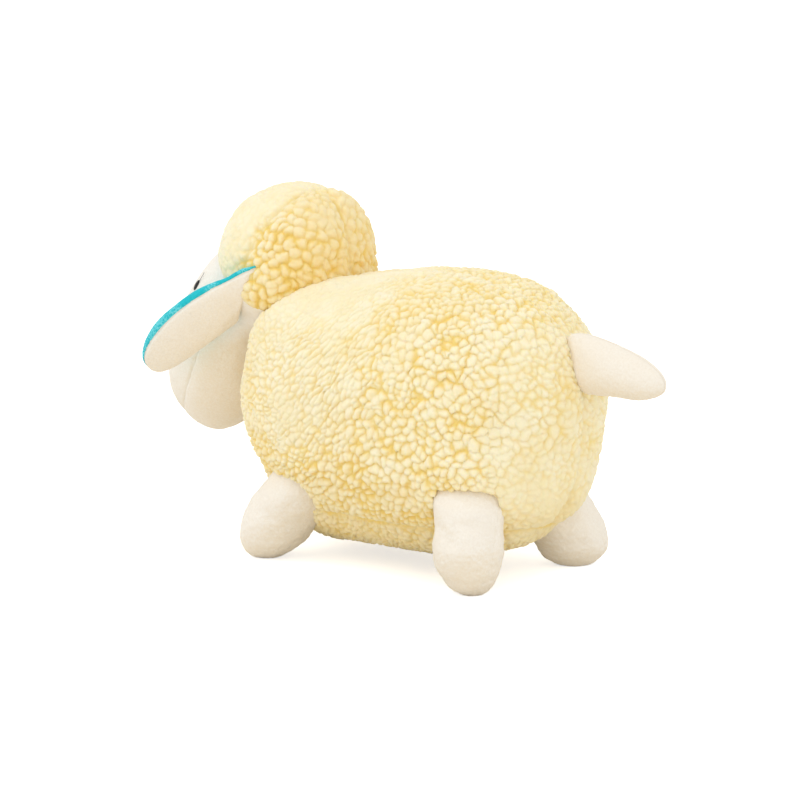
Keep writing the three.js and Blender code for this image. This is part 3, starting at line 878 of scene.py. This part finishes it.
def patch_frame(node):
    """The middle of a patch on the face, with its directions across and up."""
    low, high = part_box(node)
    centre = np.array((low + high) / 2) / MM
    direction = centre - HEAD_MIDDLE
    direction /= np.linalg.norm(direction)
    near = direction + np.array([[0, 0, 0], [TILT_STEP, 0, 0], [0, 0, TILT_STEP]])
    spots = head_point(near / np.linalg.norm(near, axis=1)[:, None])
    out = np.cross(spots[1] - spots[0], spots[2] - spots[0])
    out /= np.linalg.norm(out) * np.sign(out @ direction)
    up = -FACE_DOWN - out * (-FACE_DOWN @ out)
    up /= np.linalg.norm(up)
    return spots[0], np.cross(up, out), up


def laid_on_face(points, lift):
    """Moves points onto the face's cloth and up off it."""
    directions = points - HEAD_MIDDLE
    directions /= np.linalg.norm(directions, axis=1)[:, None]
    return head_point(directions) + directions * (lift - VELBOA_BELOW_FLEECE)[:, None]


def disc_grid(steps):
    """A square grid drawn onto a disc, and its quads."""
    even = np.linspace(-1, 1, steps)
    across, up = np.meshgrid(even, even, indexing="ij")
    disc = np.stack([across * np.sqrt(1 - up ** 2 / 2), up * np.sqrt(1 - across ** 2 / 2)], -1)
    key = np.arange(steps * steps).reshape(steps, steps)
    quads = np.stack([key[:-1, :-1], key[1:, :-1], key[1:, 1:], key[:-1, 1:]], -1).reshape(-1, 4)
    return disc.reshape(-1, 2), quads


def satin(centre, across, up, half_width, half_height, lean=0.0):
    """Rows of thread side by side over an oval, padded up in the middle."""
    disc, quads = disc_grid(SATIN["steps"])
    turn = np.array([[math.cos(lean), math.sin(lean)], [-math.sin(lean), math.cos(lean)]])
    flat = (disc * [half_width, half_height]) @ turn
    ridge = np.abs(np.cos(math.pi * disc[:, 1] * half_height / THREAD_PITCH))
    far = np.linalg.norm(disc, axis=1)
    lift = SATIN["padding"] * np.sqrt(np.clip(1 - far ** 2, 0, 1))
    lift += SATIN["strand"] * ridge * (1 - far ** 4)
    lift -= SATIN["tuck"] * smooth(far, SATIN["tucked_from"], 1)
    points = centre + flat[:, :1] * across + flat[:, 1:] * up
    return laid_on_face(points, lift), quads


THREAD_END_POWER = 8
THREAD_END_SHARE = 0.02


def thread_along(points, radius, sides=8):
    """A round thread that follows the points."""
    ahead = np.gradient(points, axis=0)
    ahead /= np.linalg.norm(ahead, axis=1)[:, None]
    across = np.cross(ahead, points - HEAD_MIDDLE)
    across /= np.linalg.norm(across, axis=1)[:, None]
    out = np.cross(across, ahead)
    angles = np.arange(sides) * 2 * math.pi / sides
    ring = np.cos(angles)[None, :, None] * across[:, None]
    ring = ring + np.sin(angles)[None, :, None] * out[:, None]
    ends = np.linspace(-1, 1, len(points)) ** THREAD_END_POWER
    taper = np.sqrt(np.clip(1 - ends, THREAD_END_SHARE, 1))
    tube = points[:, None] + radius * taper[:, None, None] * ring
    i, j = np.meshgrid(np.arange(len(points) - 1), np.arange(sides), indexing="ij")
    following = (j + 1) % sides
    here, there = i * sides, (i + 1) * sides
    quads = np.stack([here + j, here + following, there + following, there + j], -1)
    return tube.reshape(-1, 3), quads.reshape(-1, 4)


EYE = {"half_width": 1.9, "half_height": 3.2, "lean": 0.3, "aside": 0.9, "below": 1.7}
LASH = {"start": 2.6, "length": 6.0, "bend": 1.6, "aside": 0.6, "radius": 0.11}
LASH_POINTS = 24
LASH_LIFT = 0.15
NOSE = {"half_width": 5.5, "half_height": 3.2}


def make_eye(name, side, material):
    node = f"eye_{name}"
    centre, across, up = patch_frame(node)
    centre = centre - side * across * EYE["aside"] - up * EYE["below"]
    points, quads = satin(centre, across, up, EYE["half_width"], EYE["half_height"], side * EYE["lean"])
    share = np.linspace(0, 1, LASH_POINTS)[:, None]
    path = centre + up * (LASH["start"] + LASH["length"] * share)
    path = path - side * across * (LASH["bend"] * share ** 2 - LASH["aside"])
    path = laid_on_face(path, np.full(LASH_POINTS, LASH_LIFT))
    lash, lash_quads = thread_along(path, LASH["radius"])
    both = np.concatenate([points, lash])
    both_quads = np.concatenate([quads, lash_quads + len(points)])
    keep = np.ones(len(both_quads), bool)
    add_panel(f"eye_{name}_stitched", both, both_quads, keep, {}, material, nodes=[node])


def make_nose(material):
    centre, across, up = patch_frame("nose")
    points, quads = satin(centre, across, up, NOSE["half_width"], NOSE["half_height"])
    keep = np.ones(len(quads), bool)
    add_panel("nose_stitched", points, quads, keep, {}, material, nodes=["nose"])


# Limbs

def limb_frame(origin, along, near_x):
    """A root and its directions: y runs along the limb, and x near the given one."""
    y = np.array(along) / np.linalg.norm(along)
    z = np.cross(near_x, y)
    z = z / np.linalg.norm(z)
    return np.array(origin), np.stack([np.cross(y, z), y, z])


def placed(points, placing):
    """Points from a limb's own frame in the toy's."""
    origin, axes = placing
    return origin + points @ axes


def leg_cage(where, side):
    """A leg in its hip's own frame, with the frame and the foot."""
    hip = np.array(HIPS[where]["hip"]) * [side, 1, 1]
    splayed = hip[0] + side * HIPS[where]["splay"]
    foot = np.array([splayed, hip[1] + HIPS[where]["reach"], -LEG["sole_depth"]])
    placing = limb_frame(hip, foot - hip, (1, 0, 0))
    unit, quads = on_ball((6, 12, 6), {"outline_power": 2, "dome_power": LEG["dome_power"]})
    reach = (np.linalg.norm(foot - hip) + LEG["sunk"]) / 2
    radius = LEG["radius"] * (1 + LEG["swell_share"] * unit[:, 1])
    out = reach - LEG["sunk"] + unit[:, 1] * reach
    local = np.stack([unit[:, 0] * radius, out, unit[:, 2] * radius], 1)
    return local, quads, placing, foot


# How far single legs lean from the form at some heights, outward and rearward along the side
# of the body, how much wider they are there, and what bounds their tops on both sides
STANCES = {
    ("hind", "left"): {
        "height": (0, 8, 15, 25, 35, 45, 54, 70),
        "outward": (-5, -4, -0.5, 6, 9.5, 11.5, 10.5, 9),
        "rearward": (2.2, 1.4, 0.6, 0, 0, -0.6, -1, -1),
        "wider_shares": (0.04, -0.06, -0.02, -0.03, 0, 0.2, 0.6, 1.1),
        "held_between": (8.8, 46.6), "held_above": 26,
    },
    ("front", "left"): {
        "height": (0, 12, 25, 38, 50, 62), "outward": (0, 0.5, 3.5, 7.5, 8, 8),
        "rearward": (-1.5, -1.5, -1.5, -2, -2, -2), "wider_shares": (0, 0, 0, 0, 0, 0),
        "held_between": (-100, 100), "held_above": 40,
    },
    ("hind", "right"): {
        "height": (0, 10, 30, 60), "outward": (4, 3, 0, 0),
        "rearward": (-3.5, -1.5, -1.6, -0.6), "wider_shares": (0.3, 0.12, 0, 0),
        "held_between": (-200, 200), "held_above": 40,
    },
}
LEG_TOP = 59
SOLE_PRESSED = 1.4
SOLE_GIVES_BELOW = 14
HELD_OVER = 7
HELD_POWER = 10
LEG_PUCKER = 0.25
LEG_THREAD_SHARE = 0.4
# How much more painted shade, in a warmer colour, the limbs get than the face
LIMB_SHADE = {"leg": 0.25, "ear": 0.15, "tail": 0.35}


def stood_up(points, where, name):
    """Leans a leg as its stance says and sets it on the floor."""
    stance = STANCES.get((where, name))
    if stance is not None:
        outward, rearward, wider = (np.interp(points[:, 2], stance["height"], stance[way])
                                    for way in ("outward", "rearward", "wider_shares"))
        along = points @ REARWARD
        rearward = rearward + wider * (along - np.mean(along))
        low, high = stance["held_between"]
        far = (2 * (along + rearward) - low - high) / (high - low)
        pressed = far / (1 + far ** HELD_POWER) ** (1 / HELD_POWER) - far
        start = stance["held_above"]
        rearward += pressed * (high - low) / 2 * smooth(points[:, 2], start, start + HELD_OVER)
        points = points + OUTWARD * outward[:, None] + REARWARD * rearward[:, None]
    sunk = np.min(points[:, 2]) + SOLE_PRESSED
    points = points - np.array([0, 0, sunk]) * beside(points[:, 2], SOLE_GIVES_BELOW)[:, None]
    return points * [1, 1, 0] + np.maximum(points * [0, 0, 1], 0)


def make_leg(where, name, side, material):
    local, cage_quads, placing, foot = leg_cage(where, side)
    cage = placed(local, placing)
    held = body_gauge(cage) < HELD_SHARES["leg"]
    flat, points, quads = stuffed(local, cage, cage_quads, held, np.abs(local[:, 0]),
                                  sewn_between=(1, 4), most=1.0, levels=3)
    rest = placed(flat, placing)
    seam = np.abs(flat[:, 0])
    pucker = LEG_PUCKER * wander(rest, size=3, seed=66) * beside(seam, reach=4)
    worn = skin_worn(points, quads, rest, seam, LEG_LUMPS, seam_depth=0.2, seam_reach=1.4,
                     extra=pucker)
    worn = stood_up(worn, where, name)
    outside = (body_gauge(rest[quads].mean(1)) > MADE_SHARES["leg"]) | (name == "left")
    outside &= worn[quads].mean(1)[:, 2] < LEG_TOP
    values = {
        "seam": LEG_THREAD_SHARE * beside(seam, THREAD_SHOWS),
        "shade": under_shade(worn, quads, LIMB_SHADE["leg"]),
    }
    body = f"leg_{where}_{name}"
    across = flat[quads].mean(1)[:, 0]
    for panel, way in (("outer", side), ("inner", -side)):
        nodes = [f"{body}_{panel}"] + ([f"{body}_filling"] if panel == "outer" else [])
        piece = add_panel(f"{body}_{panel}_velboa", worn, quads, outside & (way * across > 0), values,
                          material, body, nodes)
        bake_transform(piece)


def leaf(form, counts):
    """A flat leaf in its root's own frame, with its quads."""
    unit, quads = on_ball(counts, form)
    to_tip = -unit[:, 0]
    rootward = np.maximum(0, -to_tip)
    reach = (form["length"] + form["sunk"]) / 2
    out = reach - form["sunk"] + to_tip * reach
    narrowed = form["root_narrow_share"] * rootward + form["tip_taper_share"] * to_tip
    cut = form["root_cut_share"] * beside(out, form["length"] / 4) * (unit[:, 2] < 0)
    width = form["half_width"] * (1 - narrowed) * (1 - cut)
    thickness = form["half_thickness"] * (1 - form["root_thin_share"] * rootward)
    share = np.maximum(0, out / form["length"])
    arch = 4 * form["arch_rise"] * share * (1 - share)
    return np.stack([unit[:, 1] * thickness, out, unit[:, 2] * width + arch], 1), quads


def ear_frame(side):
    """An ear's root and directions; its root seam leans back and out."""
    root = np.array(EAR["root"]) * [side, 1, 1]
    seam = np.array([side * math.tan(turned(EAR["flare"])), math.tan(turned(EAR["lean"])), 1.0])
    seam /= np.linalg.norm(seam)
    along = np.array([side * math.sin(turned(EAR["out"])), -math.cos(turned(EAR["out"])), 0.0])
    along -= seam * (along @ seam)
    along /= np.linalg.norm(along)
    return limb_frame(root, along, np.cross(along, seam))


# The lining shows over an ear's lower edge, most in the middle of its length, and ends at a
# rim. A painted contact shadow darkens the cloth below the root's middle, near the root.
LINING_POWER = 1.1
LINING_SHOWS_OVER = 10
EAR_RIM = 0.4
ROOT_SHADOW_BELOW = (3, 9)
ROOT_SHADOW_OUT = (3, 9)


def make_ear(name, side, velboa, lining):
    placing = ear_frame(side)
    origin, axes = placing
    sine, cosine = math.sin(turned(EAR["droop"])), math.cos(turned(EAR["droop"]))
    drooped = np.array([[1, 0, 0], [0, cosine, -sine], [0, sine, cosine]])
    tilt = turned(EAR["seam_tilt"])
    tilted_across = np.array([side * math.cos(tilt), 0, math.sin(tilt)])
    local, cage_quads = leaf(EAR, (24, 6, 12))
    cage = placed(local @ drooped, placing)
    held = head_gauge(cage) < HELD_SHARES["ear"]
    to_seam = np.abs(local @ tilted_across)
    flat, points, quads = stuffed(local, cage, cage_quads, held, to_seam,
                                  sewn_between=(0.5, 2), most=0.8)
    along = np.clip(flat[:, 1] / EAR["length"], 0, 1) ** LINING_POWER
    bow = EAR["lining_shows"] * np.sin(math.pi * along)
    ahead = flat @ tilted_across + bow * smooth(flat[:, 2], 0, LINING_SHOWS_OVER)
    seam = np.abs(ahead)
    rest = placed(flat @ drooped, placing)
    worn = skin_worn(points, quads, rest, seam, EAR_LUMPS, seam_depth=0.5, seam_reach=0.9)
    worn -= (ahead * (seam < EAR_RIM))[:, None] * (tilted_across @ drooped @ axes)
    outside = head_gauge(rest[quads].mean(1)) > MADE_SHARES["ear"]
    in_front = ahead[quads].mean(1) > 0
    # Painted contact shadow below the root's middle, near the root
    root_shadow = smooth(-flat[:, 2], *ROOT_SHADOW_BELOW) * (1 - smooth(flat[:, 1], *ROOT_SHADOW_OUT))
    values = {
        "seam": np.maximum(beside(seam, THREAD_SHOWS), root_shadow),
        "shade": under_shade(worn, quads, LIMB_SHADE["ear"]),
    }
    body = f"ear_{name}"
    panels = (("back", ~in_front, velboa, "velboa"), ("front", in_front, lining, "ear_lining"))
    for panel, keep, material, slot in panels:
        nodes = [f"{body}_{panel}"] + ([f"{body}_wadding"] if panel == "back" else [])
        piece = add_panel(f"{body}_{panel}_cloth", worn, quads, outside & keep, values,
                          material, body, nodes)
        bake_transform(piece)


def make_tail(material):
    along = (0, math.cos(turned(TAIL["droop"])), -math.sin(turned(TAIL["droop"])))
    placing = limb_frame(TAIL["root"], along, (1, 0, 0))
    local, cage_quads = leaf(TAIL, (20, 8, 14))
    cage = placed(local, placing)
    held = body_gauge(cage) < HELD_SHARES["tail"]
    flat, points, quads = stuffed(local, cage, cage_quads, held, np.abs(local[:, 0]),
                                  sewn_between=(0.5, 2.5), most=0.8)
    seam = np.abs(flat[:, 0])
    rest = placed(flat, placing)
    worn = skin_worn(points, quads, rest, seam, TAIL_LUMPS, seam_depth=0.5, seam_reach=1.2)
    outside = body_gauge(rest[quads].mean(1)) > MADE_SHARES["tail"]
    across = flat[quads].mean(1)[:, 0]
    values = {
        "seam": beside(seam, THREAD_SHOWS),
        "shade": under_shade(worn, quads, LIMB_SHADE["tail"]),
    }
    for name, side in SIDES:
        nodes = [f"tail_side_{name}"] + (["tail_filling"] if side > 0 else [])
        piece = add_panel(f"tail_side_{name}_velboa", worn, quads, outside & (side * across > 0), values,
                          material, "tail", nodes)
        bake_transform(piece)


# Materials

def linear(red, green, blue):
    """A colour as it is seen, from 0 to 255, as the light that it reflects."""
    shares = [value / 255 for value in (red, green, blue)]
    return [s / 12.92 if s <= 0.04045 else ((s + 0.055) / 1.055) ** 2.4 for s in shares] + [1.0]


def new_material(name, roughness, sheen, tint):
    material = bpy.data.materials.new(name)
    material.use_nodes = True
    shader = material.node_tree.nodes["Principled BSDF"]
    shader.inputs["Roughness"].default_value = roughness
    shader.inputs["Sheen Weight"].default_value = sheen
    shader.inputs["Sheen Roughness"].default_value = 0.5
    shader.inputs["Sheen Tint"].default_value = tint
    shader.inputs["Specular IOR Level"].default_value = 0.2
    return material, material.node_tree, shader


def noise(tree, scale, detail=2.0, roughness=0.5):
    place = tree.nodes.get("Texture Coordinate") or tree.nodes.new("ShaderNodeTexCoord")
    node = tree.nodes.new("ShaderNodeTexNoise")
    node.inputs["Scale"].default_value = scale
    node.inputs["Detail"].default_value = detail
    node.inputs["Roughness"].default_value = roughness
    tree.links.new(place.outputs["Object"], node.inputs["Vector"])
    return node.outputs["Fac"]


def attribute(tree, name):
    node = tree.nodes.new("ShaderNodeAttribute")
    node.attribute_name = name
    return node.outputs["Fac"]


def mixed(tree, share, first, second):
    node = tree.nodes.new("ShaderNodeMix")
    node.data_type = "RGBA"
    tree.links.new(share, node.inputs["Factor"])
    for socket, value in ((6, first), (7, second)):
        if isinstance(value, bpy.types.NodeSocket):
            tree.links.new(value, node.inputs[socket])
        else:
            node.inputs[socket].default_value = value
    return node.outputs[2]


def ramp(tree, value, start=0.0, end=1.0, low=0.0, high=1.0):
    node = tree.nodes.new("ShaderNodeMapRange")
    node.interpolation_type = "SMOOTHSTEP"
    for label, number in (("From Min", start), ("From Max", end), ("To Min", low), ("To Max", high)):
        node.inputs[label].default_value = number
    tree.links.new(value, node.inputs["Value"])
    return node.outputs["Result"]


def bumped(tree, shader, *heights):
    """Adds fine relief: pairs of a height and how far it stands, in millimetres."""
    below = None
    for height, distance in heights:
        node = tree.nodes.new("ShaderNodeBump")
        node.inputs["Distance"].default_value = distance * MM
        node.inputs["Strength"].default_value = 1.0
        tree.links.new(height, node.inputs["Height"])
        if below is not None:
            tree.links.new(below, node.inputs["Normal"])
        below = node.outputs["Normal"]
    tree.links.new(below, shader.inputs["Normal"])


def specks(tree):
    return ramp(tree, noise(tree, scale=900, detail=3, roughness=0.6), 0.35, 0.65)


def nap(tree):
    """The relief of short pile, and how far it stands."""
    return noise(tree, scale=1100, detail=3, roughness=0.6), 0.3


def fleece_material():
    material, tree, shader = new_material("fleece", 0.95, 0.2, linear(255, 248, 226))
    crease = ramp(tree, attribute(tree, "crease"))
    shade = ramp(tree, attribute(tree, "shade"))
    patch = ramp(tree, noise(tree, scale=45), 0.35, 0.65)
    top = mixed(tree, patch, linear(254, 241, 208), linear(252, 236, 196))
    # Painted shade: a deeper yellow where the shade value says, and a deeper gold in the creases and
    # seam grooves
    pile = mixed(tree, shade, top, linear(243, 217, 152))
    crease_shade_colour = mixed(tree, shade, linear(246, 217, 130), linear(238, 202, 100))
    tree.links.new(mixed(tree, crease, pile, crease_shade_colour), shader.inputs["Base Color"])
    shader.inputs["Subsurface Weight"].default_value = 0.4
    shader.inputs["Subsurface Radius"].default_value = (1.0, 0.85, 0.5)
    shader.inputs["Subsurface Scale"].default_value = 2.0 * MM
    bumped(tree, shader, (noise(tree, scale=800, detail=4, roughness=0.65), 0.3))
    return material


def velboa_material():
    material, tree, shader = new_material("velboa", 0.85, 0.3, linear(255, 252, 244))
    patch = ramp(tree, noise(tree, scale=60), 0.3, 0.7)
    speck = specks(tree)
    shade = ramp(tree, attribute(tree, "shade"))
    base = mixed(tree, patch, linear(251, 246, 236), linear(249, 242, 230))
    # Painted shade: a warmer, deeper cream where the shade value says, for the base and its specks
    shaded_base = mixed(tree, shade, base, linear(242, 229, 206))
    shaded_specks = mixed(tree, shade, linear(247, 240, 228), linear(239, 223, 195))
    napped = mixed(tree, speck, shaded_specks, shaded_base)
    # The seams' thread, and on the ears the painted contact shadow at the root, in a darker colour
    seam = ramp(tree, attribute(tree, "seam"), start=0.2, high=0.35)
    colour = mixed(tree, seam, napped, linear(214, 198, 170))
    tree.links.new(colour, shader.inputs["Base Color"])
    bumped(tree, shader, nap(tree), (noise(tree, scale=260), 0.5))
    return material


def lining_material():
    material, tree, shader = new_material("ear_lining", 0.8, 0.3, linear(200, 250, 255))
    patch = ramp(tree, noise(tree, scale=95, detail=1), 0.42, 0.62)
    speck = specks(tree)
    base = mixed(tree, patch, linear(36, 198, 208), linear(120, 222, 228))
    colour = mixed(tree, speck, linear(30, 188, 200), base)
    tree.links.new(colour, shader.inputs["Base Color"])
    bumped(tree, shader, nap(tree))
    return material


def thread_material(name, dark, light):
    material, tree, shader = new_material(name, 0.45, 0.1, linear(255, 255, 255))
    strand = ramp(tree, noise(tree, scale=1500), 0.3, 0.7)
    tree.links.new(mixed(tree, strand, dark, light), shader.inputs["Base Color"])
    bumped(tree, shader, (noise(tree, scale=3000), 0.05))
    return material


# Stage

CAMERA = {"azimuth": 129, "elevation": 11.5, "distance": 2.0, "lens": 178, "target": (5, -3.5, 82)}
LAMP_TARGET = Vector((0, 0, 0.08))
FLOOR_REACH = 6000
FLOOR_COLOUR = (0.93, 0.93, 0.93, 1)
FLOOR_GLOW = 0.6
WORLD_LIGHT = 0.92
WORLD_SHOWN = 1.0


def make_camera():
    azimuth = turned(CAMERA["azimuth"])
    elevation = turned(CAMERA["elevation"])
    back = Vector((
        math.sin(azimuth) * math.cos(elevation),
        -math.cos(azimuth) * math.cos(elevation),
        math.sin(elevation),
    ))
    data = bpy.data.cameras.new("camera")
    data.lens = CAMERA["lens"]
    data.sensor_width = 36
    data.clip_end = 50
    camera = add_object("camera", data)
    camera.location = Vector(CAMERA["target"]) * MM + back * CAMERA["distance"]
    camera.rotation_euler = back.to_track_quat("Z", "Y").to_euler()
    bpy.context.scene.camera = camera


def add_lamp(name, direction, distance, size, power):
    data = bpy.data.lights.new(name, "AREA")
    data.shape = "DISK"
    data.size = size
    data.energy = power
    lamp = add_object(name, data)
    direction = Vector(direction).normalized()
    lamp.location = direction * distance + LAMP_TARGET
    lamp.rotation_euler = direction.to_track_quat("Z", "Y").to_euler()


def seen_as_background(nodes, links):
    """1 for rays from the camera, off gloss or through glass, and 0 for all others."""
    path = nodes.new("ShaderNodeLightPath")
    total = path.outputs["Is Camera Ray"]
    for ray in ("Is Glossy Ray", "Is Transmission Ray"):
        added = nodes.new("ShaderNodeMath")
        added.operation = "ADD"
        added.use_clamp = True
        links.new(total, added.inputs[0])
        links.new(path.outputs[ray], added.inputs[1])
        total = added.outputs[0]
    return total


def make_floor():
    corners = FLOOR_REACH * np.array([[-1, -1, 0], [1, -1, 0], [1, 1, 0], [-1, 1, 0]], float)
    mesh = new_mesh("floor", corners, np.array([[0, 1, 2, 3]]))
    material = bpy.data.materials.new("floor")
    material.use_nodes = True
    nodes, links = material.node_tree.nodes, material.node_tree.links
    shader = nodes["Principled BSDF"]
    shader.inputs["Base Color"].default_value = FLOOR_COLOUR
    shader.inputs["Roughness"].default_value = 1
    shader.inputs["Specular IOR Level"].default_value = 0
    glow = nodes.new("ShaderNodeMath")
    glow.operation = "MULTIPLY"
    glow.inputs[1].default_value = FLOOR_GLOW
    links.new(seen_as_background(nodes, links), glow.inputs[0])
    shader.inputs["Emission Color"].default_value = (1, 1, 1, 1)
    links.new(glow.outputs[0], shader.inputs["Emission Strength"])
    mesh.materials.append(material)
    add_object("floor", mesh)


def make_world():
    world = bpy.data.worlds.new("studio")
    bpy.context.scene.world = world
    world.use_nodes = True
    nodes, links = world.node_tree.nodes, world.node_tree.links
    sky = nodes["Background"]
    sky.inputs["Color"].default_value = (1, 1, 1, 1)
    seen = nodes.new("ShaderNodeMapRange")
    seen.inputs["To Min"].default_value = WORLD_LIGHT
    seen.inputs["To Max"].default_value = WORLD_SHOWN
    links.new(seen_as_background(nodes, links), seen.inputs["Value"])
    links.new(seen.outputs["Result"], sky.inputs["Strength"])


make_camera()
make_world()
make_floor()
add_lamp("key", direction=(0.9, -0.6, 1.5), distance=1.6, size=1.2, power=4)
add_lamp("fill", direction=(0.5, 1.3, 0.5), distance=1.8, size=1.4, power=2)

WOOL = fleece_material()
VELBOA = velboa_material()
LINING = lining_material()
EYE_THREAD = thread_material("eye_thread", linear(24, 22, 21), linear(52, 48, 45))
NOSE_THREAD = thread_material("nose_thread", linear(158, 126, 110), linear(186, 156, 140))
make_body(WOOL)
make_head(WOOL, VELBOA)
make_nose(NOSE_THREAD)
make_tail(VELBOA)
for side_name, side_sign in SIDES:
    make_eye(side_name, side_sign, EYE_THREAD)
    make_ear(side_name, side_sign, VELBOA, LINING)
    for end_name in HIPS:
        make_leg(end_name, side_name, side_sign, VELBOA)

bpy.context.scene.view_settings.view_transform = "Standard"
